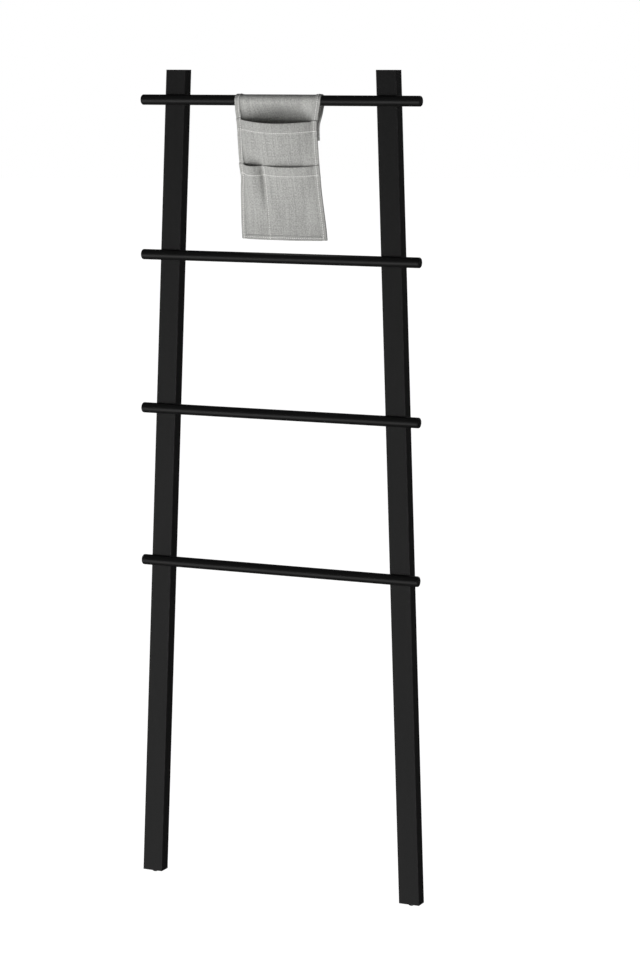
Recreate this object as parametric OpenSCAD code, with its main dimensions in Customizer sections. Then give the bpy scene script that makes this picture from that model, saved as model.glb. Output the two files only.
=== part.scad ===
// Leaning ladder rack for towels, with a cloth pocket organiser on its top rung.
// X runs along the rungs, Y from front to back and Z up. The rung axes lie in the plane Y = 0,
// the feet stand on Z = 0, and the ladder stands upright here. In use it leans on a wall.

/* [Rails] */
// Height of a rail, straight up
rail_h = 1600; // [1560:5:1700]
// Width of a rail, seen from the front
rail_w = 41.6; // [38:0.1:46]
// Depth of a rail, from front to back
rail_d = 25.4; // [24:0.1:30]
// Distance over the outside of both rails at their top ends
top_span = 488.6; // [470:0.2:500]
// Outward slope of each rail, in degrees
splay = 1.99; // [1.5:0.01:2.5]

/* [Rungs] */
// Diameter of a rung
rung_dia = 20.5; // [20:0.1:22]
// Length of a rung over its rounded ends
rung_len = 594; // [590:1:620]
// Radius of the rounded edge at a rung's end
rung_edge = 3; // [1:0.5:5]
// Distance from one rung's axis to the next
rung_pitch = 304; // [296:1:310]
// Distance from a rail's top end down to the top rung's axis
top_drop = 58.6; // [50:0.2:80]
// How far a rung's axis stands in front of the rails' front faces
rung_stand = 1.2; // [0.8:0.1:2]

/* [Rung bolts] */
// Diameter of a bolt's shank
bolt_dia = 6; // [5:0.5:6]
// Length of a bolt under its head
bolt_len = 25; // [24:0.5:25]
// Depth of the round recess for a bolt's head
recess_depth = 5; // [4.5:0.1:5.5]
// Diameter of that recess
recess_dia = 14; // [13:0.5:16]

/* [Feet and wall pads] */
// Height of a foot under its rail
foot_h = 5; // [4:0.5:6]
// Radius of a foot's dome
dome_r = 8.5; // [8:0.1:9]
// Diameter of a wall pad
pad_dia = 18; // [12:1:22]
// Thickness of a wall pad
pad_t = 3; // [2:0.5:5]
// Distance from a rail's top end down to the middle of its wall pad
pad_drop = 20; // [16:1:30]

/* [Organiser] */
// Width of the organiser's cloth
cloth_w = 182; // [176:1:190]
// Length of the organiser from the rung's axis down to its bottom edge
cloth_len = 269.5; // [262:0.5:275]
// Thickness of one layer of cloth
cloth_t = 1.1; // [0.8:0.1:1.2]
// Angle between the hanging cloth and the ladder, in degrees
hang_angle = 8.1; // [4:0.1:10]
// Depth at which the top pocket's edge meets the side bindings
top_hem = 34.5; // [30:0.5:45]
// How much deeper that edge sags in its middle
top_hem_sag = 8.5; // [4:0.5:12]
// Depth at which the lower pockets' edge meets the side bindings
low_hem = 121; // [118:0.5:140]
// How much deeper that edge sags in the middle of each lower pocket
low_hem_sag = 5; // [2:0.5:8]
// How far the top pocket bulges to the front
top_bulge = 20; // [12:0.5:22]
// How far the back panel bows to the rear, behind the top pocket
back_bow = 12; // [6:0.5:14]
// How far the lower pockets bulge to the front
low_bulge = 8; // [6:0.5:12]
// Distance of the seam between the lower pockets from the middle, to the left
seam_x = 30.3; // [20:0.1:40]
// Width of the binding round the cloth's edges
binding_w = 9; // [7:0.5:10]
// Thickness of the binding
binding_t = 0.7; // [0.5:0.1:0.9]
// Depth at which the rear flap is sewn to the back panel
flap_join = 40; // [36:1:46]
// Depth of the rear flap's lower edge
flap_end = 75; // [70:1:90]

/* [Hidden] */
$fn = 64;

// Clearance between parts that are fitted together, and between those that turn or slide
fit = 0.05;
running = 0.1;
// Overlap that lets a cutting tool pass clear through a face
through = 1;

// Rails and rungs
RUNGS = 4;
LEFT = -1;
RIGHT = 1;
rail_top = foot_h + rail_h;
rail_front = rung_stand;
rail_back = rail_front + rail_d;
rung_r = rung_dia / 2;
function outer_x(z) = top_span / 2 + (rail_top - z) * tan(splay);
function rail_x(z) = outer_x(z) - rail_w / 2;
function rung_z(i) = rail_top - top_drop - i * rung_pitch;

// Bolts: the head and its washer sit in the recess, and the shank ends in the rung's insert
bolt_r = bolt_dia / 2;
washer_t = 1.2;
washer_r = 6;
head_r = 5.2;
head_h = 3.2;
head_rim_h = 2;
head_top_r = 4;
socket_af = 4;
socket_depth = 2;
recess_floor = rail_back - recess_depth;
head_seat = recess_floor + washer_t;
insert_r = 4.25;
insert_len = 12;
insert_outer_y = rung_r - 1;
insert_hole_y = min(insert_outer_y - insert_len, head_seat - bolt_len) - 0.5;
bolt_hole_r = bolt_r + 0.3;

// Nail cast into each foot
nail_r = 1.1;
nail_len = 18;
nail_head_r = 4;
nail_head_h = 1.2;
nail_head_z = foot_h - 2.2;
foot_flat_cut = 0.4;

// Loop of cloth over the rung, and the layers that hang from it
loop_r = rung_r + running;
loop_t = 0.6;
layer_gap = 0.2;
leg_r = loop_r + loop_t + layer_gap;
layer = cloth_t + layer_gap;
half_w = cloth_w / 2;
free_w = half_w - binding_w;
bow_from = leg_r + 1;
bulge_to = low_hem - 3;
low_bulge_to = cloth_len - 25;
binding_top = 14;

// Cloth layers are height fields: y over x and over the depth d below the rung's axis
function ease(from, to, d) = let (k = max(0, min(1, (d - from) / (to - from)))) k * k * (3 - 2 * k);
function arch(x, from, to) =
    let (v = (2 * x - from - to) / (to - from))
    abs(v) >= 1 ? 0 : pow(1 - v * v, 2);
function pocket_arch(x) = arch(x, -free_w, free_w);
function low_arch(x) = x < -seam_x ? arch(x, -free_w, -seam_x) : arch(x, -seam_x, free_w);
function bow(x, d) =
    back_bow * pocket_arch(x) * ease(bow_from, top_hem + top_hem_sag, d)
    * (1 - ease(top_hem + top_hem_sag, low_hem + 15, d));
function panel_rear(x, d) = -leg_r + bow(x, d);
function top_hem_d(x) = top_hem + top_hem_sag * pocket_arch(x);
function low_hem_d(x) = low_hem + low_hem_sag * low_arch(x);
function top_pocket_rear(x, d) =
    -leg_r - layer - top_bulge * pocket_arch(x) * (1 - ease(top_hem_d(x), bulge_to, d));
function low_pocket_rear(x, d) =
    -leg_r - 2 * layer - low_bulge * low_arch(x) * (1 - ease(low_hem_d(x), low_bulge_to, d));

// The rear leg of the loop leaves the rung along a tangent that reaches the join behind the panel
function join_y(x) = panel_rear(x, flap_join) + layer;
function leg_slope(x) =
    let (reach = norm([join_y(x), flap_join]))
    atan(-join_y(x) / flap_join) + asin((leg_r + cloth_t) / reach);
function flap_rear(x, d) =
    let (a = leg_slope(x), r = leg_r + cloth_t, touch = r * sin(a))
    d <= touch ? sqrt(r * r - d * d)
    : d < flap_join ? r * cos(a) - (d - touch) * tan(a)
    : panel_rear(x, d) + layer;

// Columns of points across the cloth: at its edges, at both bindings, at the seam and between them
function spread(from, to, n) = [for (j = [0 : n - 1]) from + (to - from) * j / n];
columns = concat([-half_w], spread(-free_w, -seam_x, 4), spread(-seam_x, free_w, 9), [free_w, half_w]);

// Layer of cloth between the depths top(x) and bottom, whose rear face is rear(x, d)
module cloth(rear, top, bottom, rows) {
    n = len(columns);
    m = rows + 1;
    points = [for (side = [-cloth_t, 0], j = [0 : rows], x = columns)
        let (d = top(x) + (bottom - top(x)) * j / rows) [x, rear(x, d) + side, -d]];
    function at(side, j, i) = side * m * n + j * n + i;
    function quad(a, b, c, e) = [[a, b, c], [a, c, e]];
    grid = [for (j = [0 : rows - 1], i = [0 : n - 2]) each concat(
        quad(at(0, j, i), at(0, j, i + 1), at(0, j + 1, i + 1), at(0, j + 1, i)),
        quad(at(1, j, i), at(1, j + 1, i), at(1, j + 1, i + 1), at(1, j, i + 1)))];
    ends = [for (i = [0 : n - 2]) each concat(
        quad(at(0, 0, i), at(1, 0, i), at(1, 0, i + 1), at(0, 0, i + 1)),
        quad(at(0, rows, i), at(0, rows, i + 1), at(1, rows, i + 1), at(1, rows, i)))];
    edges = [for (j = [0 : rows - 1]) each concat(
        quad(at(1, j, 0), at(0, j, 0), at(0, j + 1, 0), at(1, j + 1, 0)),
        quad(at(1, j, n - 1), at(1, j + 1, n - 1), at(0, j + 1, n - 1), at(0, j, n - 1)))];
    polyhedron(points, concat(grid, ends, edges));
}

// Places what hangs on the top rung: its origin is the rung's axis, and the cloth hangs along -Z
module hang() {
    translate([0, 0, rung_z(0)]) rotate([hang_angle, 0, 0]) children();
}

// Cylinder along X, from the front to the back along Y, and a block given by its two corners
module rod_x(r, length) {
    rotate([0, 90, 0]) cylinder(r = r, h = length, center = true);
}
module rod_y(r, front, back) {
    translate([0, front, 0]) rotate([-90, 0, 0]) cylinder(r = r, h = back - front);
}
module block(low, high) {
    translate(low) cube(high - low);
}

// Every bolt position: over both rails and all rungs
module at_bolts(sides = [LEFT, RIGHT], rungs = [0 : RUNGS - 1]) {
    for (side = sides, i = rungs) translate([side * rail_x(rung_z(i)), 0, rung_z(i)]) children();
}
module at_feet(sides = [LEFT, RIGHT]) {
    for (side = sides) translate([side * rail_x(foot_h), rail_front + rail_d / 2, 0]) children();
}

module rail(side) {
    color("#1d1d1e") difference() {
        translate([0, rail_back, 0]) rotate([90, 0, 0]) linear_extrude(rail_d) polygon([
            [side * (outer_x(rail_top) - rail_w), rail_top],
            [side * outer_x(rail_top), rail_top],
            [side * outer_x(foot_h), foot_h],
            [side * (outer_x(foot_h) - rail_w), foot_h]]);
        for (i = [0 : RUNGS - 1]) translate([0, 0, rung_z(i)]) rod_x(rung_r + fit, 2 * rung_len);
        at_bolts([side]) {
            rod_y(bolt_hole_r, 0, rail_back + through);
            rod_y(recess_dia / 2, recess_floor, rail_back + through);
        }
        at_feet([side]) cylinder(r = nail_r + fit, h = nail_head_z + nail_head_h + nail_len + through);
    }
}

module rung(i) {
    straight = rung_len - 2 * rung_edge;
    color("#19191a") difference() {
        translate([0, 0, rung_z(i)]) rotate([0, 90, 0]) rotate_extrude() union() {
            translate([0, -straight / 2]) square([rung_r, straight]);
            translate([0, -rung_len / 2]) square([rung_r - rung_edge, rung_len]);
            for (end = [-1, 1]) intersection() {
                translate([rung_r - rung_edge, end * straight / 2]) circle(rung_edge);
                translate([0, -rung_len / 2]) square([rung_r, rung_len]);
            }
        }
        at_bolts(rungs = [i]) rod_y(insert_r + fit, insert_hole_y, rung_r + through);
    }
}

// Button-head bolts with a hexagon socket
module rung_bolts() {
    color("#4a4b4d") at_bolts() difference() {
        union() {
            rod_y(bolt_r, head_seat - bolt_len, head_seat);
            rod_y(head_r, head_seat, head_seat + head_rim_h);
            translate([0, head_seat + head_rim_h, 0]) rotate([-90, 0, 0])
                cylinder(r1 = head_r, r2 = head_top_r, h = head_h - head_rim_h);
        }
        translate([0, head_seat + head_h - socket_depth, 0]) rotate([-90, 0, 0])
            cylinder(r = socket_af / 2 / cos(30), h = socket_depth + through, $fn = 6);
    }
}

module bolt_washers() {
    color("#8d8f91") at_bolts() difference() {
        rod_y(washer_r, recess_floor, recess_floor + washer_t);
        rod_y(bolt_hole_r, recess_floor - through, rail_back);
    }
}

// Threaded inserts in the rungs, drawn as plain sleeves
module rung_inserts() {
    color("#b5904a") at_bolts() difference() {
        rod_y(insert_r, insert_outer_y - insert_len, insert_outer_y);
        rod_y(bolt_r + fit, insert_outer_y - insert_len - through, rail_back);
    }
}

// Domed glide with a small flat to stand on
module foot(side) {
    color("#232324") at_feet([side]) difference() {
        translate([0, 0, dome_r - foot_flat_cut]) sphere(dome_r);
        translate([0, 0, -dome_r]) cylinder(r = 2 * dome_r, h = dome_r);
        translate([0, 0, foot_h]) cylinder(r = 2 * dome_r, h = 2 * dome_r);
        translate([0, 0, nail_head_z - fit]) cylinder(r = nail_head_r + fit, h = nail_head_h + 2 * fit);
        translate([0, 0, nail_head_z]) cylinder(r = nail_r + fit, h = nail_len);
    }
}

module foot_nails() {
    color("#a3a5a7") at_feet() union() {
        translate([0, 0, nail_head_z]) cylinder(r = nail_head_r, h = nail_head_h);
        translate([0, 0, nail_head_z + nail_head_h]) cylinder(r = nail_r, h = nail_len);
    }
}

module wall_pad(side) {
    z = rail_top - pad_drop;
    rim = pad_t / 3;
    color("#2a2a2b") translate([side * rail_x(z), 0, z]) union() {
        rod_y(pad_dia / 2, rail_back, rail_back + pad_t - rim);
        translate([0, rail_back + pad_t - rim, 0]) rotate([-90, 0, 0])
            cylinder(r1 = pad_dia / 2, r2 = pad_dia / 2 - rim, h = rim);
    }
}

// Saddle of cloth over the rung, on which the rest of the organiser turns
module hanging_loop() {
    color("#a8a8a4") hang() intersection() {
        difference() {
            rod_x(loop_r + loop_t, cloth_w);
            rod_x(loop_r, cloth_w + 2 * through);
        }
        block([-cloth_w, -rung_dia, 0], [cloth_w, rung_dia, rung_dia]);
    }
}

module back_panel() {
    color("#a9a9a5") hang()
        cloth(function(x, d) panel_rear(x, d), function(x) 0, cloth_len, 22);
}

// Rear leg of the loop, which runs from the rung to its seam on the back panel
module rear_flap() {
    color("#8f8f8b") hang()
        cloth(function(x, d) flap_rear(x, d), function(x) 0, flap_end, 30);
}

module top_pocket() {
    color("#b3b3af") hang()
        cloth(function(x, d) top_pocket_rear(x, d), function(x) top_hem_d(x), cloth_len, 16);
}

// One layer of cloth, sewn down along the seam between its two pockets
module lower_pockets() {
    color("#bbbbb7") hang()
        cloth(function(x, d) low_pocket_rear(x, d), function(x) low_hem_d(x), cloth_len, 10);
}

// Folded tape along the cloth's edges, with the layers between its two walls
stack_front = -leg_r - 2 * layer - cloth_t - layer_gap;
stack_rear = -leg_r + layer_gap;
binding_x = half_w + layer_gap;
binding_low = cloth_len + layer_gap;

module side_binding(side) {
    color("#c4c4c0") hang() mirror([side == LEFT ? 1 : 0, 0, 0]) union() {
        block([free_w, stack_front - binding_t, -binding_low],
            [binding_x + binding_t, stack_front, -binding_top]);
        block([binding_x, stack_front - binding_t, -binding_low],
            [binding_x + binding_t, stack_rear + binding_t, -binding_top]);
        block([free_w, stack_rear, -binding_low],
            [binding_x + binding_t, stack_rear + binding_t, -flap_end - 5]);
    }
}

module bottom_binding() {
    reach = free_w - layer_gap;
    color("#c4c4c0") hang() union() {
        for (y = [stack_front - binding_t, stack_rear])
            block([-reach, y, -binding_low - binding_t], [reach, y + binding_t, -cloth_len + binding_w]);
        block([-reach, stack_front - binding_t, -binding_low - binding_t],
            [reach, stack_rear + binding_t, -binding_low]);
    }
}

rail(LEFT);  // left_rail
rail(RIGHT);  // right_rail
rung(0);  // top_rung
rung(1);  // second_rung
rung(2);  // third_rung
rung(3);  // bottom_rung
rung_bolts();
bolt_washers();
rung_inserts();
foot(LEFT);  // left_foot
foot(RIGHT);  // right_foot
foot_nails();
wall_pad(LEFT);  // left_wall_pad
wall_pad(RIGHT);  // right_wall_pad
hanging_loop();
back_panel();
rear_flap();
top_pocket();
lower_pockets();
side_binding(LEFT);  // left_binding
side_binding(RIGHT);  // right_binding
bottom_binding();
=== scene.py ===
"""Looks of a leaning ladder towel rack with a cloth pocket organiser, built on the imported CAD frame.

The frame is X along the rungs, Y front to back and Z up, in metres. The organiser is drawn in its own
frame, in millimetres: s across, y to the back and d down the cloth, from the top rung's axis. Its
cloth hangs along a plane that leans back by HANG.
"""

import math

import bmesh
import bpy
import numpy as np
from mathutils import Matrix, Vector


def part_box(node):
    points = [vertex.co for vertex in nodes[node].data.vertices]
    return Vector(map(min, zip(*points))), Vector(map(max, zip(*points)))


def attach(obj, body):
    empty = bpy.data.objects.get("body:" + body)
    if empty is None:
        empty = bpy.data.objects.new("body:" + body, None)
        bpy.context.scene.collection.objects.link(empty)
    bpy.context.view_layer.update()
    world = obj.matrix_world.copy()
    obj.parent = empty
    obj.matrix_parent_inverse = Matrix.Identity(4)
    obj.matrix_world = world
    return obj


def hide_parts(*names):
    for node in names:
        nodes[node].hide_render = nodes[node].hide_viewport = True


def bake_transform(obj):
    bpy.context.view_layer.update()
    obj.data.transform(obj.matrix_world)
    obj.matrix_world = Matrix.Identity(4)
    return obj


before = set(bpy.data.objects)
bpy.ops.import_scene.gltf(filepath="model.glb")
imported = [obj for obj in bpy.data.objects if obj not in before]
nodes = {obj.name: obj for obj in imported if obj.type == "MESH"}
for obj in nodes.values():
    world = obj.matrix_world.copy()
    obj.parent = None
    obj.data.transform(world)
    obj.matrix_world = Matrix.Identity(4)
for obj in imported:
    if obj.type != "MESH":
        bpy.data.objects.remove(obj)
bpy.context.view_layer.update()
scene = bpy.context.scene

MM = 0.001
RAIL_W = 0.0416
RAIL_TOP_X = 0.2443  # outer edge of a rail at its top
SPLAY = math.radians(1.99)
HANG = math.radians(8.1)
rung_low, rung_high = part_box("top_rung")
AXIS = (rung_low + rung_high) / 2
RUNG_R = (rung_high.z - rung_low.z) / 2 / MM


# Small helpers

def smooth(start, end, x):
    """0 before start, 1 after end and a smooth rise between them."""
    t = np.clip((np.asarray(x, float) - start) / (end - start), 0, 1)
    return t * t * (3 - 2 * t)


def to_frame(points):
    """Points (s, y, d) of the organiser, in mm, as points of the shared frame, in metres."""
    p = np.asarray(points, float)
    s, y, d = p[..., 0], p[..., 1], p[..., 2]
    out = np.stack([
        s,
        y * math.cos(HANG) + d * math.sin(HANG),
        y * math.sin(HANG) - d * math.cos(HANG),
    ], -1) * MM
    return out + np.array(AXIS)


def unit(v):
    return v / np.maximum(np.linalg.norm(v, axis=-1, keepdims=True), 1e-12)


def mesh_object(name, points, faces, uvs, material):
    """Smooth-shaded piece from points, faces and one pair of UV coordinates for each point."""
    mesh = bpy.data.meshes.new(name)
    mesh.from_pydata([tuple(p) for p in points], [], [tuple(int(i) for i in f) for f in faces])
    solid = bmesh.new()
    solid.from_mesh(mesh)
    bmesh.ops.recalc_face_normals(solid, faces=solid.faces)
    solid.to_mesh(mesh)
    solid.free()
    mesh.polygons.foreach_set("use_smooth", [True] * len(mesh.polygons))
    layer = mesh.uv_layers.new(name="cloth")
    corner = np.zeros(len(mesh.loops), int)
    mesh.loops.foreach_get("vertex_index", corner)
    layer.data.foreach_set("uv", np.asarray(uvs, np.float32)[corner].ravel())
    mesh.materials.append(material)
    piece = bpy.data.objects.new(name, mesh)
    scene.collection.objects.link(piece)
    return piece


# Material helpers

def node(tree, kind, inputs=None, **settings):
    """A shader node. inputs gives sockets a link or a value, and settings are the node's own fields."""
    made = tree.nodes.new(kind)
    for key, value in settings.items():
        setattr(made, key, value)
    for key, value in (inputs or {}).items():
        if isinstance(value, bpy.types.NodeSocket):
            tree.links.new(value, made.inputs[key])
        else:
            made.inputs[key].default_value = value
    return made


def calc(tree, operation, *values):
    made = node(tree, "ShaderNodeMath", dict(enumerate(values)), operation=operation)
    return made.outputs[0]


def blend_values(tree, factor, low, high):
    made = node(tree, "ShaderNodeMapRange", {
        "Value": factor, "From Min": 0.0, "From Max": 1.0, "To Min": low, "To Max": high})
    return made.outputs[0]


def ramp(tree, factor, low, high):
    """0 where factor is below low and 1 above high, smoothly."""
    made = node(tree, "ShaderNodeMapRange", {
        "Value": factor, "From Min": low, "From Max": high, "To Min": 0.0, "To Max": 1.0},
        interpolation_type="SMOOTHSTEP")
    return made.outputs[0]


def vector_calc(tree, operation, first, second):
    key = "Scale" if operation == "SCALE" else 1
    return node(tree, "ShaderNodeVectorMath", {0: first, key: second}, operation=operation).outputs[0]


def mix_value(tree, factor, first, second):
    return node(tree, "ShaderNodeMix", {0: factor, 2: first, 3: second}, data_type="FLOAT").outputs[0]


def mix_colour(tree, factor, first, second):
    made = node(tree, "ShaderNodeMix", {0: factor, 6: first, 7: second}, data_type="RGBA")
    return made.outputs[2]


def noise(tree, vector, scale, detail, roughness, output="Fac"):
    made = node(tree, "ShaderNodeTexNoise", {
        "Vector": vector, "Scale": scale, "Detail": detail, "Roughness": roughness})
    return made.outputs[output]


def stretched(tree, vector, scale):
    return node(tree, "ShaderNodeMapping", {"Vector": vector, "Scale": scale}).outputs[0]


def with_grain(tree, place, grain, across_grain, along_grain):
    """Coordinates scaled by one number along the axis grain and by another across it."""
    scale = [across_grain] * 3
    scale[grain] = along_grain
    return stretched(tree, place, scale)


def bump(tree, height, distance, strength, normal=None):
    inputs = {"Height": height, "Distance": distance, "Strength": strength}
    if normal is not None:
        inputs["Normal"] = normal
    return node(tree, "ShaderNodeBump", inputs).outputs[0]


def new_material(name):
    material = bpy.data.materials.new(name)
    material.use_nodes = True
    tree = material.node_tree
    return material, tree, tree.nodes["Principled BSDF"]


def object_coordinates(tree):
    return node(tree, "ShaderNodeTexCoord").outputs["Object"]


def grey(value):
    return (value, value, value, 1.0)


# Painted wood

def painted_wood(name, grain, edge_distance, tone, gloss, shine):
    """Satin black lacquer over close grain. grain is the wood's direction, 0 for X and 2 for Z."""
    material, tree, shader = new_material(name)
    place = object_coordinates(tree)
    streaks = noise(tree, with_grain(tree, place, grain, 150.0, 5.0), 1.0, 6.0, 0.62)
    pores = noise(tree, with_grain(tree, place, grain, 900.0, 45.0), 1.0, 3.0, 0.55)
    pores = ramp(tree, pores, 0.60, 0.74)
    peel = noise(tree, place, 420.0, 2.0, 0.5)
    patches = noise(tree, place, 7.0, 3.0, 0.5)
    colour = mix_colour(tree, streaks, (tone * 0.78, tone * 0.78, tone * 0.80, 1),
                        (tone * 1.28, tone * 1.27, tone * 1.25, 1))
    rough = calc(tree, "ADD", blend_values(tree, streaks, gloss - 0.04, gloss + 0.05),
                 blend_values(tree, patches, -0.04, 0.05))
    near = calc(tree, "SUBTRACT", 1.0, ramp(tree, edge_distance(tree, place), 0.0002, 0.0022))
    worn = calc(tree, "MULTIPLY", near, ramp(tree, noise(tree, place, 60.0, 5.0, 0.6), 0.46, 0.62))
    colour = mix_colour(tree, calc(tree, "MULTIPLY", worn, 0.55), colour, (0.020, 0.0195, 0.019, 1))
    rough = calc(tree, "SUBTRACT", rough, calc(tree, "MULTIPLY", worn, 0.07))
    tree.links.new(colour, shader.inputs["Base Color"])
    tree.links.new(rough, shader.inputs["Roughness"])
    shader.inputs["Specular IOR Level"].default_value = shine
    normal = bump(tree, streaks, 0.00010, 0.55)
    normal = bump(tree, calc(tree, "MULTIPLY", pores, -1.0), 0.00005, 0.7, normal)
    normal = bump(tree, peel, 0.00004, 0.5, normal)
    tree.links.new(normal, shader.inputs["Normal"])
    return material


def rail_edge_distance(tree, place):
    """Distance from the nearest long edge of a rail, for a point on its surface."""
    low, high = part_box("right_rail")
    x, y, z = node(tree, "ShaderNodeSeparateXYZ", {0: place}).outputs
    drop = calc(tree, "SUBTRACT", high.z, z)
    middle = calc(tree, "MULTIPLY_ADD", drop, math.tan(SPLAY), RAIL_TOP_X - RAIL_W / 2)
    off_x = calc(tree, "ABSOLUTE", calc(tree, "SUBTRACT", calc(tree, "ABSOLUTE", x), middle))
    off_y = calc(tree, "ABSOLUTE", calc(tree, "SUBTRACT", y, (low.y + high.y) / 2))
    side = calc(tree, "POWER", calc(tree, "SUBTRACT", RAIL_W / 2, off_x), 2.0)
    face = calc(tree, "POWER", calc(tree, "SUBTRACT", (high.y - low.y) / 2, off_y), 2.0)
    return calc(tree, "SQRT", calc(tree, "ADD", side, face))


def rung_edge_distance(tree, place):
    """Distance along a rung from its nearer end, shortened so that the wear reaches further in."""
    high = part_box("top_rung")[1]
    x = node(tree, "ShaderNodeSeparateXYZ", {0: place}).outputs[0]
    end = calc(tree, "SUBTRACT", high.x, calc(tree, "ABSOLUTE", x))
    return calc(tree, "MULTIPLY", end, 0.6)


# Hardware

def metal(name, tint, gloss, scratch):
    """Dull metal with fine lines from turning. gloss is its mean roughness."""
    material, tree, shader = new_material(name)
    place = object_coordinates(tree)
    film = noise(tree, place, 260.0, 5.0, 0.6)
    lines = noise(tree, stretched(tree, place, (900.0, 120.0, 900.0)), 1.0, 3.0, 0.5)
    dark = tuple(c * 0.72 for c in tint) + (1,)
    tree.links.new(mix_colour(tree, film, dark, tuple(tint) + (1,)), shader.inputs["Base Color"])
    shader.inputs["Metallic"].default_value = 1.0
    tree.links.new(blend_values(tree, film, gloss - 0.08, gloss + 0.12), shader.inputs["Roughness"])
    tree.links.new(bump(tree, lines, scratch, 0.6), shader.inputs["Normal"])
    return material


def moulded(name, tone, gloss, grain_scale, grain_depth):
    """Moulded plastic or rubber with a fine spark-eroded grain and rubbed high spots."""
    material, tree, shader = new_material(name)
    place = object_coordinates(tree)
    grain = noise(tree, place, grain_scale, 3.0, 0.6)
    cloud = noise(tree, place, 90.0, 3.0, 0.5)
    colour = mix_colour(tree, cloud, grey(tone * 0.8), grey(tone * 1.3))
    tree.links.new(colour, shader.inputs["Base Color"])
    tree.links.new(blend_values(tree, grain, gloss - 0.06, gloss + 0.10), shader.inputs["Roughness"])
    tree.links.new(bump(tree, grain, grain_depth, 0.8), shader.inputs["Normal"])
    return material


# Cloth

def woven(name, light, dark, pitch, depth, gloss):
    """Plain weave on the piece's own UV map, which is in metres: every yarn has its own tone."""
    material, tree, shader = new_material(name)
    uv = node(tree, "ShaderNodeUVMap", uv_map="cloth").outputs[0]
    wander = vector_calc(tree, "SUBTRACT", noise(tree, uv, 60.0, 2.0, 0.5, "Color"), (0.5, 0.5, 0.5))
    uv_bent = vector_calc(tree, "ADD", uv, vector_calc(tree, "SCALE", wander, 0.0011))
    split = node(tree, "ShaderNodeSeparateXYZ", {0: uv_bent})
    across = calc(tree, "DIVIDE", split.outputs[0], pitch)
    down = calc(tree, "DIVIDE", split.outputs[1], pitch)
    i, j = calc(tree, "FLOOR", across), calc(tree, "FLOOR", down)
    fi, fj = calc(tree, "FRACT", across), calc(tree, "FRACT", down)
    over = calc(tree, "FLOORED_MODULO", calc(tree, "ADD", i, j), 2.0)
    arch_i = calc(tree, "SINE", calc(tree, "MULTIPLY", fi, math.pi))
    arch_j = calc(tree, "SINE", calc(tree, "MULTIPLY", fj, math.pi))
    warp = calc(tree, "MULTIPLY", arch_i, calc(tree, "MULTIPLY_ADD", arch_j, 0.45, 0.55))
    weft = calc(tree, "MULTIPLY", arch_j, calc(tree, "MULTIPLY_ADD", arch_i, 0.45, 0.55))
    height = mix_value(tree, over, warp, weft)
    warp_tone = node(tree, "ShaderNodeTexWhiteNoise", {"W": i}, noise_dimensions="1D").outputs[0]
    weft_tone = node(tree, "ShaderNodeTexWhiteNoise", {"W": calc(tree, "ADD", j, 0.37)},
                     noise_dimensions="1D").outputs[0]
    yarn = mix_value(tree, over, warp_tone, calc(tree, "MULTIPLY", weft_tone, 0.72))
    slubs = noise(tree, stretched(tree, uv, (900.0, 55.0, 1.0)), 1.0, 3.0, 0.6)
    slubs_across = noise(tree, stretched(tree, uv, (55.0, 900.0, 1.0)), 1.0, 3.0, 0.6)
    fibre = noise(tree, uv, 5200.0, 3.0, 0.65)
    cloud = noise(tree, uv, 24.0, 3.0, 0.5)
    bands = noise(tree, stretched(tree, uv, (150.0, 14.0, 1.0)), 1.0, 2.0, 0.5)
    heather = noise(tree, stretched(tree, uv, (420.0, 300.0, 1.0)), 1.0, 4.0, 0.7)
    tone = calc(tree, "MULTIPLY", slubs, 0.13)
    # height also goes into the colour: lighter on the yarns' crowns and darker where they dip between
    # each other, as painted shade.
    for part, middle, weight in (
            (yarn, 0.0, 0.26), (slubs_across, 0.0, 0.10), (heather, 0.39, 1.55), (height, 0.6, 0.30),
            (fibre, 0.0, 0.16), (cloud, 0.0, 0.14), (bands, 0.5, 0.36)):
        tone = calc(tree, "MULTIPLY_ADD", calc(tree, "SUBTRACT", part, middle), weight, tone)
    colour = mix_colour(tree, ramp(tree, tone, 0.22, 0.98), dark, light)
    tree.links.new(colour, shader.inputs["Base Color"])
    tree.links.new(blend_values(tree, fibre, gloss - 0.06, gloss + 0.06), shader.inputs["Roughness"])
    shader.inputs["Specular IOR Level"].default_value = 0.25
    shader.inputs["Sheen Weight"].default_value = 0.18
    shader.inputs["Sheen Roughness"].default_value = 0.45
    relief = calc(tree, "MULTIPLY_ADD", fibre, 0.16, calc(tree, "MULTIPLY_ADD", slubs, 0.25, height))
    tree.links.new(bump(tree, relief, depth, 0.75), shader.inputs["Normal"])
    return material


def twisted_thread(name):
    """Off-white sewing thread of two twisted plies, on a UV map whose v runs along the thread."""
    material, tree, shader = new_material(name)
    uv = node(tree, "ShaderNodeUVMap", uv_map="cloth").outputs[0]
    split = node(tree, "ShaderNodeSeparateXYZ", {0: uv})
    turn = calc(tree, "MULTIPLY_ADD", split.outputs[1], 2600.0, split.outputs[0])
    twist = calc(tree, "SINE", calc(tree, "MULTIPLY", turn, 2 * math.pi))
    twist = calc(tree, "MULTIPLY_ADD", twist, 0.5, 0.5)
    fluff = noise(tree, uv, 900.0, 3.0, 0.6)
    # The twist goes into the colour too: the grooves between the plies are darker, as painted shade.
    tone = calc(tree, "MULTIPLY_ADD", fluff, 0.4, calc(tree, "MULTIPLY", twist, 0.6))
    colour = mix_colour(tree, tone, (0.78, 0.775, 0.75, 1), (0.94, 0.935, 0.915, 1))
    tree.links.new(colour, shader.inputs["Base Color"])
    tree.links.new(blend_values(tree, fluff, 0.55, 0.75), shader.inputs["Roughness"])
    shader.inputs["Sheen Weight"].default_value = 0.2
    shader.inputs["Sheen Roughness"].default_value = 0.4
    tree.links.new(bump(tree, twist, 0.00008, 0.7), shader.inputs["Normal"])
    return material


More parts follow.
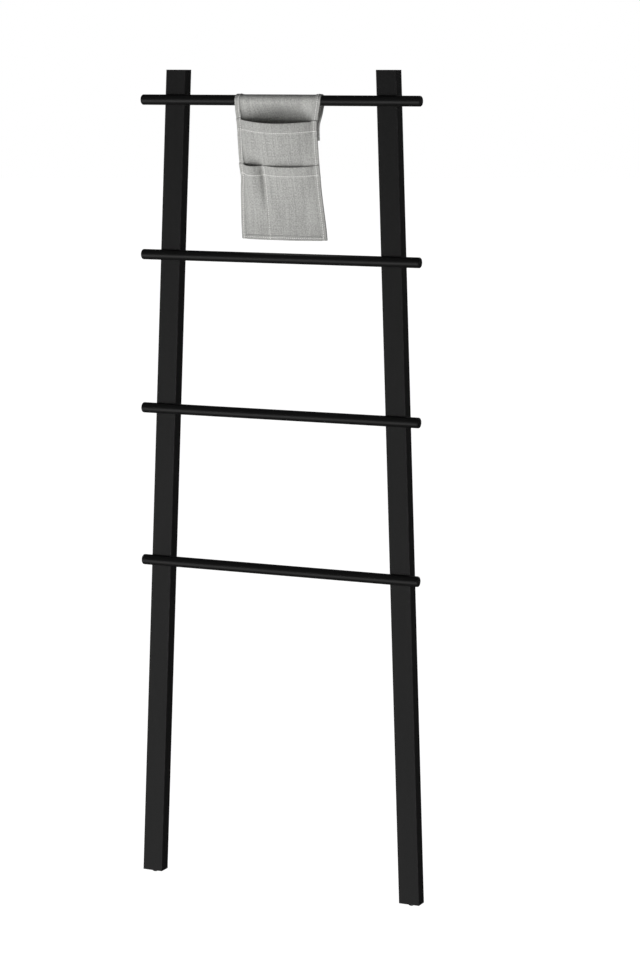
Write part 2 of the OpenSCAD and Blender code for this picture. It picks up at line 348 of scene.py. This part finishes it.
rail_paint = painted_wood("rail_paint", 2, rail_edge_distance, tone=0.0056, gloss=0.34, shine=0.42)
# The rungs carry the rails' paint, but with a lower tone: painted shade on the rungs.
rung_paint = painted_wood("rung_paint", 0, rung_edge_distance, tone=0.0044, gloss=0.31, shine=0.56)
bolt_steel = metal("bolt_steel", (0.42, 0.42, 0.43), 0.34, 0.00003)
washer_steel = metal("washer_steel", (0.62, 0.62, 0.63), 0.30, 0.00003)
insert_brass = metal("insert_brass", (0.72, 0.52, 0.24), 0.28, 0.00004)
foot_nylon = moulded("foot_nylon", 0.016, 0.42, 1600.0, 0.00003)
pad_rubber = moulded("pad_rubber", 0.024, 0.72, 1100.0, 0.00006)
canvas = woven("organiser_cloth", (0.50, 0.50, 0.48, 1), (0.24, 0.24, 0.231, 1), 0.00078, 0.00016, 0.88)
# The tape's light tone is a little darker than the cloth's: painted shade on the tapes.
tape = woven("binding_tape", (0.48, 0.48, 0.462, 1), (0.25, 0.25, 0.241, 1), 0.00060, 0.00013, 0.84)
thread = twisted_thread("stitch_thread")


# Ladder: the CAD parts, with their edges eased

def dress(name, material, edge=None):
    """Give a CAD part its material, and round its sharp edges to the width edge."""
    part = nodes[name]
    part.data.materials.clear()
    part.data.materials.append(material)
    if edge:
        weld = part.modifiers.new("weld", "WELD")
        weld.merge_threshold = 1e-6
        round_off = part.modifiers.new("edges", "BEVEL")
        round_off.width = edge
        round_off.segments = 3
        round_off.limit_method = "ANGLE"
        round_off.angle_limit = math.radians(35)
        round_off.harden_normals = True
        round_off.use_clamp_overlap = True


for name in ("left_rail", "right_rail"):
    dress(name, rail_paint, 0.0007)
for name in ("top_rung", "second_rung", "third_rung", "bottom_rung"):
    dress(name, rung_paint)
dress("rung_bolts", bolt_steel, 0.0002)
dress("bolt_washers", washer_steel, 0.00015)
dress("rung_inserts", insert_brass)
dress("foot_nails", bolt_steel)
for name in ("left_foot", "right_foot"):
    dress(name, foot_nylon)
for name in ("left_wall_pad", "right_wall_pad"):
    dress(name, pad_rubber, 0.0004)


# Organiser: the shape of the hanging cloth, as surfaces in its own frame

CLOTH_T = 0.95
TAPE_T = 0.5
TAPE_W = 10.0
BOTTOM_TAPE_W = 8.5
BOTTOM_STITCH = 4.4  # from the lower edge up to its stitches
TAPE_FOLD = 0.55  # how far a tape's inner face stands out past the cloth's edge
TAPE_LIP = 0.22  # roundness of a tape's cut edges
ON_TAPE = TAPE_T + 0.08  # how far stitches rise where they cross a tape
LENGTH = 269.3  # from the rung's axis to the lower edge
LAYER = 1.25  # from one layer's middle to the next
SEAM_S = -28.6  # s of the upright seam between the lower pockets, at its upper end
SEAM_D = 125.0  # d of that end
FLAP_JOIN = 41.0  # from here down the rear flap follows the panel
FLAP_END = 75.0
FLAP_GAP = 2.6  # from the panel's middle to the flap's
FLAP_ROWS = 16
FLAP_SEAMS = 52.3, 70.5  # d of the two rows of stitches
REAR_LEG_ROWS = 14
OVER_RUNG_ROWS = 41
HEM = 19.0
HEM_GAP = 1.02  # between the two layers of a hem
LEG_Y = -11.75  # the front leg of the loop, just clear of the rung
ROOM = CLOTH_T / 2 + 0.04  # from the strip's middle to a tape's inner wall


def left_edge(d):
    """s of the left edge: drawn in at the waist, out at the hip, wider on the rung and at the foot."""
    waist = 1.3 * np.exp(-((np.asarray(d) - 143) / 16) ** 2)
    hip = 1.0 * np.exp(-((np.asarray(d) - 182) / 28) ** 2)
    return -83.9 - 4.9 * smooth(150, 255, d) - 4.0 * (1 - smooth(16, 54, d)) + waist - hip


def right_edge(d):
    """s of the right edge, which is widest on the rung and at the foot."""
    return 84.3 + 6.9 * smooth(150, 275, d) + 8.5 * (1 - smooth(-10, 44, d))


def across(u, d):
    """s of the share u of the width, from -1 at the left edge to 1 at the right edge."""
    left, right = left_edge(d), right_edge(d)
    return left + (right - left) * (np.asarray(u) + 1) / 2


def behind(u, d):
    """s of the share u of the width on the rear leg of the loop, which is a little wider."""
    left, right = -87.4 + 5.6 * smooth(6, 38, d), 91.0 - 3.6 * smooth(22, 56, d)
    return left + (right - left) * (np.asarray(u) + 1) / 2


def share(s, d):
    """The share of the width at s: across() the other way round."""
    left, right = left_edge(d), right_edge(d)
    return 2 * (np.asarray(s) - left) / (right - left) - 1


def seam_share(d):
    """Share of the width at the upright seam, which leans a little to the right."""
    return share(SEAM_S + 2.6 * (np.asarray(d) - SEAM_D) / (LENGTH - SEAM_D), d)


def arch(u, start, end, power):
    """1 in the middle between start and end, and 0 at both and beyond."""
    v = np.clip((2 * np.asarray(u) - start - end) / (end - start), -1, 1)
    return (1 - v * v) ** power


def ripple(u, d, size, seed):
    """Soft, uneven waves in the cloth, mostly upright ones."""
    a = np.sin(7.3 * u + 0.011 * d + seed) * np.cos(0.021 * d + 1.7 * seed)
    b = np.sin(15.1 * u - 0.017 * d + 2.3 * seed) * np.cos(0.043 * d + 0.6 * seed)
    c = np.sin(4.1 * u + 0.052 * d + 3.1 * seed)
    return size * (0.5 * a + 0.28 * b + 0.22 * c) * arch(u, -0.97, 0.97, 1.0)


def lifted(u, d, size, seed):
    """Soft waves that only stand out to the front, by up to size."""
    wave = np.clip(1.4 * ripple(u, d, 1.0, seed), -1, 1)
    return size * (0.5 + 0.5 * wave) * arch(u, -0.93, 0.93, 1.0)


def carried(u, d):
    """How far all the layers together stand in front of the hanging plane."""
    dent = 6.5 * arch(u, -0.9, seam_share(SEAM_D), 1.0) * np.exp(-((d - 116) / 18) ** 2)
    wave = ripple(u, d, 0.8, 0.4) * smooth(8, 30, d)
    edges = 4.0 * smooth(22, 70, d) * (1 - smooth(95, 165, d))
    middle = 6.5 * arch(u, -1, 1, 1.0) * smooth(55, 125, d) * (1 - smooth(135, 235, d))
    foot = 6.0 * arch(u, -1, 1, 1.0) * smooth(150, 268, d)
    return edges + middle + foot - dent - wave


def panel_y(u, d):
    """The back panel, which bows to the back behind the top pocket's mouth."""
    bow = 27.0 * arch(u, -0.9, 0.9, 0.9) * smooth(0, 33, d) * (1 - smooth(46, 150, d))
    return LEG_Y - carried(u, d) + bow


def top_hem(u):
    """d of the top pocket's edge, which sags."""
    return 37.1 + 1.7 * u + 3.6 * arch(u + 0.07 * (1 - u * u), -1, 1, 1.25)


def low_hem(u):
    """d of the lower pockets' edge, which sags on both sides of the seam."""
    seam = seam_share(SEAM_D)
    left = 121.0 + 3.2 * (u + 1) / (seam + 1) + 1.4 * arch(u, -1, seam, 1.0)
    right = 124.2 - 0.6 * (u - seam) / (1 - seam) + 1.9 * arch(u, seam, 1, 1.0)
    return np.where(u < seam, left, right)


def hem_bulk(hem, d):
    """How far the cloth folded in behind a hem pushes it to the front."""
    return HEM_GAP * (1 - smooth(hem + HEM - 2, hem + HEM + 4, d))


def low_bulge(u, d):
    """How far the two lower pockets stand open, with a small fold beside the seam."""
    seam = seam_share(d)
    narrow = 15.5 * arch(u, -0.9, seam - 0.06, 0.95)
    wide = 7.2 * arch(u, seam + 0.01, 0.9, 0.9)
    open_part = 1 - smooth(low_hem(u), 236, d)
    crest = np.exp(-(((u - seam + 0.13) / 0.055) ** 2))
    fold = 1.3 * crest * smooth(128, 150, d) * (1 - smooth(170, 235, d))
    return np.where(u < seam, narrow * open_part ** 0.9, wide * open_part ** 1.4) + fold


def top_pocket_y(u, d):
    """The top pocket's front layer, which stands open at its edge."""
    open_part = 1 - smooth(top_hem(u) - 2, 150, d)
    gape = 19.0 * arch(u, -0.9, 0.9, 0.95) * open_part ** 1.25
    wave = lifted(u, d, 1.1, 1.9) * smooth(50, 90, d) * (1 - smooth(225, 258, d))
    return LEG_Y - LAYER - carried(u, d) - gape - hem_bulk(top_hem(u), d) - wave


def low_pockets_y(u, d):
    """The lower pockets' layer, which lies on the top pocket's and is flat along the seam."""
    sewn = 1 - np.exp(-((u - seam_share(d)) / 0.05) ** 2)
    wave = lifted(u, d, 1.3, 3.3) * smooth(128, 165, d) * (1 - smooth(225, 258, d)) * sewn
    return top_pocket_y(u, d) - LAYER - low_bulge(u, d) - hem_bulk(low_hem(u), d) - wave


def column_shares(count):
    """Shares of the width from -1 to 1, a little denser near both edges."""
    t = np.linspace(-1, 1, count)
    return np.sign(t) * (1 - (1 - np.abs(t)) ** 1.08)


COLUMNS = column_shares(97)
LINE_SHARES = np.linspace(-1, 1, 241)

# Rows of the front, with more of them where the side tapes step over the pockets' edges
row_depths = np.sort(np.concatenate([
    np.linspace(0, LENGTH, 150), np.arange(31.6, 38.6, 0.4), np.arange(118.4, 123.4, 0.4)]))
FRONT_D = row_depths[np.append(np.diff(row_depths) > 0.25, True)]


def normals_of(grid):
    """Unit normals of a grid of points, which face the front where its rows run down."""
    rows = np.gradient(grid, axis=0)
    columns = np.gradient(grid, axis=1)
    return unit(np.cross(columns, rows))


def front_sheet(surface, top, rows):
    """Points of a pocket layer's middle, from its upper edge down to the organiser's lower edge."""
    hem = top(COLUMNS)
    d = hem[None, :] + (LENGTH - hem)[None, :] * np.linspace(0, 1, rows)[:, None]
    u = np.broadcast_to(COLUMNS[None, :], d.shape)
    return np.stack([across(u, d), surface(u, d), d], -1)


def length_along(path):
    """Length from the first point of a path to every point of it."""
    return np.concatenate([[0], np.cumsum(np.linalg.norm(np.diff(path, axis=0), axis=-1))])


def lengths_along(grid):
    """Length of cloth from the first row, down every column."""
    step = np.linalg.norm(np.diff(grid, axis=0), axis=-1)
    return np.vstack([np.zeros(grid.shape[1]), np.cumsum(step, 0)])


def cloth_sheet(name, grid):
    """Closed sheet of cloth about a grid of mid-surface points, with softly rounded edges."""
    n, m = grid.shape[:2]
    normal = normals_of(grid)
    front, back = grid + normal * CLOTH_T / 2, grid - normal * CLOTH_T / 2
    uv = np.stack([grid[:, :, 0], lengths_along(grid)], -1) * MM
    ring = ([(0, i) for i in range(m)] + [(j, m - 1) for j in range(1, n)]
            + [(n - 1, i) for i in range(m - 2, -1, -1)] + [(j, 0) for j in range(n - 2, 0, -1)])
    rim = np.array([grid[j, i] for j, i in ring])
    inward = np.array([grid[min(max(j, 1), n - 2), min(max(i, 1), m - 2)] for j, i in ring])
    rim = rim + unit(rim - inward) * CLOTH_T * 0.38
    points = np.vstack([front.reshape(-1, 3), back.reshape(-1, 3), rim])
    uvs = np.vstack([uv.reshape(-1, 2)] * 2 + [np.array([uv[j, i] for j, i in ring])])
    number = np.arange(n * m).reshape(n, m)
    faces = []
    for j in range(n - 1):
        for i in range(m - 1):
            a, b, c, e = number[j, i], number[j, i + 1], number[j + 1, i + 1], number[j + 1, i]
            faces.append((a, e, c, b))
            faces.append((n * m + a, n * m + b, n * m + c, n * m + e))
    base, count = 2 * n * m, len(ring)
    for k in range(count):
        a, b = number[ring[k]], number[ring[(k + 1) % count]]
        ra, rb = base + k, base + (k + 1) % count
        faces.append((a, b, rb, ra))
        faces.append((ra, rb, n * m + b, n * m + a))
    return mesh_object(name, to_frame(points), faces, uvs, canvas)


def hemmed_layer(surface, top, rows):
    """A pocket layer with its upper edge turned to the inside, down to HEM below the edge."""
    grid = front_sheet(surface, top, rows)
    d_in = top(COLUMNS)[None, :] + np.linspace(HEM, 1.2, 14)[:, None]
    u = np.broadcast_to(COLUMNS[None, :], d_in.shape)
    inner = np.stack([across(u, d_in), surface(u, d_in), d_in], -1)
    inner_normal = normals_of(inner[::-1])[::-1]
    inner = inner - inner_normal * HEM_GAP
    front_normal = normals_of(grid[:6])[0]
    up = unit(grid[0] - grid[2])
    centre = grid[0] - front_normal * HEM_GAP / 2
    turn = []
    for beta in np.linspace(math.pi, 0, 7)[:-1]:
        turn.append(centre + HEM_GAP / 2 * (math.cos(beta) * front_normal + math.sin(beta) * up))
    return np.vstack([inner, np.array(turn), grid])


# The main strip: up from the rear flap's lower edge, over the rung and down the front

def strip_grid():
    """Rows of the strip's middle. It lies higher on the rung at its edges, for the side tapes."""
    u = COLUMNS
    top_r = RUNG_R + 0.65 + 0.55 * smooth(0.82, 0.93, np.abs(u))
    side_r = np.full_like(u, -LEG_Y)
    rows = []
    for d in np.linspace(FLAP_END, FLAP_JOIN, FLAP_ROWS):
        rows.append(np.stack([behind(u, d), panel_y(u, d) + FLAP_GAP, np.full_like(u, d)], -1))

    # The rear leg runs straight up from the join to where it touches the loop's round part
    join = rows[-1]
    reach = np.hypot(join[:, 1], join[:, 2])
    lean = np.arctan2(-join[:, 1], join[:, 2]) + np.arcsin(np.clip(side_r / reach, -1, 1))
    touch = np.stack([join[:, 0], side_r * np.cos(lean), side_r * np.sin(lean)], -1)
    for t in np.linspace(0, 1, REAR_LEG_ROWS + 2)[1:-1]:
        p = join + (touch - join) * t
        p[:, 0] = behind(u, p[:, 2])
        rows.append(p)

    # phi turns from the back of the rung over its top to its front
    for t in np.linspace(0, 1, OVER_RUNG_ROWS + 1)[:-1]:
        phi = -lean + (math.pi + lean) * t
        r = top_r + (side_r - top_r) * smooth(0, math.pi / 2, np.abs(phi - math.pi / 2))
        depth = -r * np.sin(phi)
        turned = smooth(0, math.pi, phi)
        s = behind(u, np.maximum(depth, 0)) * (1 - turned) + across(u, depth) * turned
        rows.append(np.stack([s, r * np.cos(phi), depth], -1))
    for d in FRONT_D:
        depth = np.full_like(u, d)
        rows.append(np.stack([across(u, depth), panel_y(u, depth), depth], -1))
    grid = np.array(rows)

    # Ease the bend where the rear leg meets the flap
    first, last = FLAP_ROWS - 3, FLAP_ROWS + 3
    for _ in range(6):
        part = grid[first:last]
        mean = (grid[first - 1:last - 1] + grid[first + 1:last + 1]) / 2
        grid[first:last] = part + 0.5 * (mean - part)
    return grid


# Folded tape along an edge: a narrow channel swept along a path

def channel(name, path, outward, normal, front, back, width):
    """Tape folded round an edge. front and back are how far its inner walls stand off the path."""
    n = len(path)
    loops = []
    for k in range(n):
        f, b = front[k], back[k]
        inner, outer = [], []
        steps = [0.0, 0.2, 0.45, 0.7, 0.9]
        for q in steps:
            o = -width + q * width
            inner.append((o, f))
            outer.append((o, f + TAPE_T))
        for a in np.linspace(0, 1, 7):
            turn = math.pi / 2 - a * math.pi
            mid, half = (f - b) / 2, (f + b) / 2
            out, rise = math.cos(turn), math.sin(turn)
            inner.append((TAPE_FOLD * out, mid + half * rise))
            outer.append(((TAPE_FOLD + TAPE_T) * out, mid + (half + TAPE_T) * rise))
        for q in steps[::-1]:
            o = -width + q * width
            inner.append((o, -b))
            outer.append((o, -b - TAPE_T))
        front_lip = (-width - TAPE_LIP, f + TAPE_T * 0.5)
        back_lip = (-width - TAPE_LIP, -b - TAPE_T * 0.5)
        section = [front_lip] + outer + [back_lip] + inner[::-1]
        loops.append([path[k] + o * outward[k] + h * normal[k] for o, h in section])
    loops = np.array(loops)
    m = loops.shape[1]
    run = length_along(path)
    girth = length_along(loops[n // 2])
    uvs = np.stack(np.broadcast_arrays(girth[None, :], run[:, None]), -1) * MM
    faces = []
    for k in range(n - 1):
        for i in range(m):
            a, b = k * m + i, k * m + (i + 1) % m
            faces.append((a, b, b + m, a + m))
    half = m // 2
    for first in (0, (n - 1) * m):
        after = first + m
        faces += [(first + i, first + i + 1, after - i - 1, after - i) for i in range(1, half - 1)]
        faces += [(first, first + 1, after - 1), (first + half - 1, first + half, first + half + 1)]
    return mesh_object(name, to_frame(loops.reshape(-1, 3)), faces, uvs.reshape(-1, 2), tape)


# Stitches: short arched lengths of thread that dip into the cloth at both ends

STITCH = 3.7
STITCH_GAP = 0.5
STITCH_DIP = 0.55  # how deep the ends of a stitch's middle line go into the cloth
THREAD_R = 0.62


def value_at(q, run, values):
    """Vectors between those of values, at the lengths q along a path."""
    return np.stack([np.interp(q, run, values[:, c]) for c in range(3)], -1)


def stitch_parts(path, normal):
    """Points, faces and UVs of a row of stitches along a path on the cloth's surface, in mm."""
    run = length_along(path)
    count = max(1, int((run[-1] + STITCH_GAP) // (STITCH + STITCH_GAP)))
    pitch = run[-1] / count
    rings, sides = 7, 6
    t = np.linspace(0, 1, rings)
    rise = -STITCH_DIP + 0.8 * np.sin(math.pi * t) ** 0.6
    radius = THREAD_R * (0.55 + 0.45 * np.sin(math.pi * t) ** 0.5)
    points, faces, uvs = [], [], []
    for k in range(count):
        q = k * pitch + (pitch - STITCH) / 2 + t * STITCH
        centre, up = value_at(q, run, path), unit(value_at(q, run, normal))
        along = unit(np.gradient(centre, axis=0))
        side = unit(np.cross(along, up))
        base = len(points)
        for j in range(rings):
            for i in range(sides):
                a = 2 * math.pi * i / sides
                points.append(centre[j] + up[j] * (rise[j] + radius[j] * math.sin(a))
                              + side[j] * radius[j] * math.cos(a))
                uvs.append((i / sides, q[j] * MM))
        for j in range(rings - 1):
            for i in range(sides):
                a, b = base + j * sides + i, base + j * sides + (i + 1) % sides
                faces.append((a, b, b + sides, a + sides))
        faces.append(tuple(base + i for i in range(sides))[::-1])
        faces.append(tuple(base + (rings - 1) * sides + i for i in range(sides)))
    return np.array(points), faces, np.array(uvs)


def stitching(name, lines):
    """One piece with all stitches along the lines, each of which is a path and its normals."""
    points, faces, uvs = [], [], []
    for path, normal in lines:
        p, f, w = stitch_parts(path, normal)
        shift = sum(len(x) for x in points)
        points.append(p)
        uvs.append(w)
        faces += [tuple(i + shift for i in face) for face in f]
    piece = mesh_object(name, to_frame(np.vstack(points)), faces, np.vstack(uvs), thread)
    return piece


def on_surface(surface, u, d, lift):
    """Path and normals on a front surface, lifted off its mid-surface."""
    down, aside = 0.4, 0.004
    here = np.stack([across(u, d), surface(u, d), d], -1)
    lower = np.stack([across(u, d + down), surface(u, d + down), d + down], -1)
    beside = np.stack([across(u + aside, d), surface(u + aside, d), d], -1)
    normal = unit(np.cross(beside - here, lower - here))
    return here + normal * lift, normal


strip = strip_grid()
strip_normal = normals_of(strip)
strip_depth = strip[:, 0, 2]
on_front = np.arange(len(strip)) >= len(strip) - len(FRONT_D)

cloth_strip = cloth_sheet("cloth_strip", strip)
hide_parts("hanging_loop", "back_panel", "rear_flap")

top_pocket = cloth_sheet("top_pocket_cloth", hemmed_layer(top_pocket_y, top_hem, rows=130))
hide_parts("top_pocket")

low_pockets = cloth_sheet("lower_pockets_cloth", hemmed_layer(low_pockets_y, low_hem, rows=86))
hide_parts("lower_pockets")


def layers_under_tape(side):
    """How far a side tape's front wall stands off the strip: it steps out over each pocket layer."""
    near_edge = side * 0.97
    front = np.full(len(strip), ROOM)
    for hem in (float(top_hem(near_edge)), float(low_hem(near_edge))):
        layer = np.where(on_front, LAYER + hem_bulk(hem, strip_depth), 0)
        front = front + layer * smooth(hem - 2.4, hem - 1.0, strip_depth)
    return front


def stitch_inset(side):
    """How far inside the edge its stitches run. At the left they come nearer to it lower down."""
    return 7.2 - 2.4 * smooth(90, 200, strip_depth) if side < 0 else np.full(len(strip), 5.4)


def edge_channel(name, side):
    """Side tape, and its stitch lines. There are none at the back where the strip lies on the rung."""
    column = 0 if side < 0 else -1
    path = strip[:, column]
    normal = strip_normal[:, column]
    tangent = unit(np.gradient(path, axis=0))
    outward = unit(np.cross(tangent, normal))
    outward = outward * np.sign(outward[:, :1]) * side
    front, back = layers_under_tape(side), np.full(len(strip), ROOM)
    piece = channel(name, path, outward, normal, front, back, TAPE_W)
    sewn = path - outward * stitch_inset(side)[:, None]
    line = sewn + normal * (front + TAPE_T)[:, None]
    under = sewn - normal * (back + TAPE_T)[:, None]
    below_rung = strip_depth > RUNG_R
    parts = below_rung & ~on_front, below_rung & on_front
    return piece, [(line, normal)] + [(under[part], -normal[part]) for part in parts]


left_tape, left_lines = edge_channel("left_tape", -1)
right_tape, right_lines = edge_channel("right_tape", 1)
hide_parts("left_binding")
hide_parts("right_binding")
side_stitches = stitching("side_stitches", left_lines + right_lines)


def bottom_channel():
    """Tape along the lower edge, between the side tapes, and its two stitch lines."""
    first = share(left_edge(LENGTH) + TAPE_W + 0.3, LENGTH)
    last = share(right_edge(LENGTH) - TAPE_W - 0.3, LENGTH)
    u = LINE_SHARES[(LINE_SHARES > first) & (LINE_SHARES < last)]
    d = np.full_like(u, LENGTH)
    here = np.stack([across(u, d), panel_y(u, d), d], -1)
    higher = np.stack([across(u, d - 2), panel_y(u, d - 2), d - 2], -1)
    outward = unit(here - higher)
    along = unit(np.gradient(here, axis=0))
    normal = unit(np.cross(outward, along))
    normal = normal * np.sign(-normal[:, 1:2])
    front = np.full(len(u), ROOM + 2 * LAYER)
    back = np.full(len(u), ROOM)
    piece = channel("bottom_tape", here, outward, normal, front, back, BOTTOM_TAPE_W)
    u = LINE_SHARES[np.abs(LINE_SHARES) < 0.955]
    d = np.full_like(u, LENGTH - BOTTOM_STITCH)
    path, normal = on_surface(panel_y, u, d, 0)
    line = path + normal * (front[0] + TAPE_T)
    under = path - normal * (back[0] + TAPE_T)
    return piece, (line, normal), (under, -normal)


bottom_tape, bottom_line, bottom_under = bottom_channel()
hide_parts("bottom_binding")


def hem_line(surface, top, depth_below):
    """Stitch line along a hem, over the tape at both sides."""
    u = LINE_SHARES[np.abs(LINE_SHARES) < 0.985]
    d = top(u) + depth_below
    path, normal = on_surface(surface, u, d, CLOTH_T / 2)
    inner = np.where(u < 0, share(left_edge(d) + TAPE_W, d), share(right_edge(d) - TAPE_W, d))
    over_tape = smooth(0.0, 0.012, np.abs(u) - np.abs(inner) + 0.006)
    return path + normal * (ON_TAPE * over_tape)[:, None], normal


def seam_line():
    """Stitch line down the seam between the lower pockets, and over the bottom tape."""
    d = np.linspace(float(low_hem(seam_share(SEAM_D))) + 1.0, LENGTH - 0.6, 160)
    path, normal = on_surface(low_pockets_y, seam_share(d), d, CLOTH_T / 2)
    tape_top = LENGTH - BOTTOM_TAPE_W
    return path + normal * (ON_TAPE * smooth(tape_top - 1.7, tape_top - 0.1, d))[:, None], normal


def flap_lines():
    """Stitch lines on the back of the rear flap."""
    rows = [int(np.argmin(np.abs(strip[:FLAP_ROWS, 0, 2] - d))) for d in FLAP_SEAMS]
    return [(strip[r] + strip_normal[r] * CLOTH_T / 2, strip_normal[r]) for r in rows]


pocket_stitches = stitching("pocket_stitches", [
    hem_line(top_pocket_y, top_hem, depth_below=17.4),
    hem_line(low_pockets_y, low_hem, depth_below=17.0),
    seam_line(),
    bottom_line,
    bottom_under,
])
flap_stitches = stitching("flap_stitches", flap_lines())

# What crosses the rung's axis, between the loop, which only slides, and the turning organiser, keeps
# its place with its transform baked; the rest goes with the organiser
for piece in (cloth_strip, left_tape, right_tape, side_stitches):
    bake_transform(piece)
for piece in (top_pocket, low_pockets, bottom_tape, pocket_stitches, flap_stitches):
    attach(piece, "organiser")


# Studio: pale floor, soft light from the front left, and a dim room that the black paint reflects

def studio_floor():
    """Pale floor. It glows, so that shadows hardly show, and the ladder's paint doesn't reflect it."""
    bpy.ops.mesh.primitive_circle_add(vertices=96, radius=40, fill_type="NGON", location=(0, 0, 0))
    floor = bpy.context.object
    floor.name = "floor"
    material, tree, shader = new_material("floor")
    place = object_coordinates(tree)
    cloud = noise(tree, place, 0.8, 3.0, 0.5)
    tree.links.new(mix_colour(tree, cloud, grey(0.40), grey(0.44)), shader.inputs["Base Color"])
    shader.inputs["Roughness"].default_value = 0.9
    shader.inputs["Specular IOR Level"].default_value = 0.1
    shader.inputs["Emission Color"].default_value = (1, 1, 1, 1)
    shader.inputs["Emission Strength"].default_value = 0.98
    floor.data.materials.append(material)
    floor.visible_glossy = False


def soft_sun(name, azimuth, elevation, strength, spread, glint=False):
    """Distant lamp. Azimuth 0 shines from the front, and a negative one from the front left."""
    light = bpy.data.lights.new(name, "SUN")
    light.energy = strength
    light.angle = math.radians(spread)
    lamp = bpy.data.objects.new(name, light)
    a, e = math.radians(azimuth), math.radians(elevation)
    source = Vector((math.sin(a) * math.cos(e), -math.cos(a) * math.cos(e), math.sin(e)))
    lamp.rotation_mode = "QUATERNION"
    lamp.rotation_quaternion = source.to_track_quat("Z", "Y")
    lamp.visible_glossy = glint
    scene.collection.objects.link(lamp)


def soft_box():
    """Low soft box in front, to the left, which lights the cloth slightly from below."""
    target = Vector((0, 0, 1.4))
    light = bpy.data.lights.new("soft_box", "AREA")
    light.shape = "RECTANGLE"
    light.size = 1.6
    light.size_y = 1.4
    light.energy = 59
    lamp = bpy.data.objects.new("soft_box", light)
    lamp.location = (-1.3, -2.3, 0.60)
    lamp.rotation_mode = "QUATERNION"
    lamp.rotation_quaternion = (target - lamp.location).to_track_quat("-Z", "Y")
    lamp.visible_glossy = False
    lamp.visible_camera = False
    scene.collection.objects.link(lamp)


def room():
    """Dim room with a glow low down in front, stronger at the left. The camera itself sees white."""
    world = bpy.data.worlds.new("studio")
    scene.world = world
    world.use_nodes = True
    tree = world.node_tree
    tree.nodes.clear()
    direction = node(tree, "ShaderNodeTexCoord").outputs["Generated"]
    x, y, z = node(tree, "ShaderNodeSeparateXYZ", {0: direction}).outputs
    ahead = ramp(tree, y, 0.10, -0.45)
    upper = calc(tree, "MULTIPLY", ramp(tree, z, 0.06, -0.14), 0.7)
    below = calc(tree, "MULTIPLY_ADD", ramp(tree, z, -0.12, -0.45), 0.65, upper)
    below = calc(tree, "MULTIPLY", below, ramp(tree, z, -0.86, -0.50))
    left = ramp(tree, x, 0.7, -0.7)
    glow = calc(tree, "MULTIPLY", calc(tree, "MULTIPLY", ahead, below), 0.47)
    level = calc(tree, "ADD", glow, 0.034)
    level = calc(tree, "MULTIPLY", level, blend_values(tree, left, 0.80, 1.20))
    dim = node(tree, "ShaderNodeBackground", {"Color": (1, 1, 1, 1), "Strength": level})
    white = node(tree, "ShaderNodeBackground", {"Color": (1, 1, 1, 1), "Strength": 1.0})
    seen = node(tree, "ShaderNodeLightPath").outputs["Is Camera Ray"]
    both = node(tree, "ShaderNodeMixShader", {0: seen, 1: dim.outputs[0], 2: white.outputs[0]})
    node(tree, "ShaderNodeOutputWorld", {0: both.outputs[0]})


def camera():
    """Long lens from the front right, about as high as the ladder's top, tipped slightly down."""
    place = Vector((2.3418, -4.8860, 1.5852))
    yaw, pitch, roll = math.radians(24.76), math.radians(4.6), math.radians(0.139)
    ahead = Vector((-math.sin(yaw), math.cos(yaw), 0))
    level = Vector((math.cos(yaw), math.sin(yaw), 0))
    forward = math.cos(pitch) * ahead - math.sin(pitch) * Vector((0, 0, 1))
    right = math.cos(roll) * level + math.sin(roll) * level.cross(forward)
    up = right.cross(forward)
    data = bpy.data.cameras.new("camera")
    data.sensor_width = 36
    data.lens = 105.73
    data.shift_y = -0.18
    eye = bpy.data.objects.new("camera", data)
    turn = Matrix((right, up, -forward)).transposed().to_4x4()
    eye.matrix_world = Matrix.Translation(place) @ turn
    scene.collection.objects.link(eye)
    scene.camera = eye


studio_floor()
soft_box()
soft_sun("key", azimuth=-30, elevation=8, strength=0.15, spread=30)
soft_sun("rear", azimuth=200, elevation=10, strength=0.9, spread=50)
soft_sun("glint", azimuth=172, elevation=32, strength=0.35, spread=50, glint=True)
room()
camera()
scene.view_settings.view_transform = "Standard"
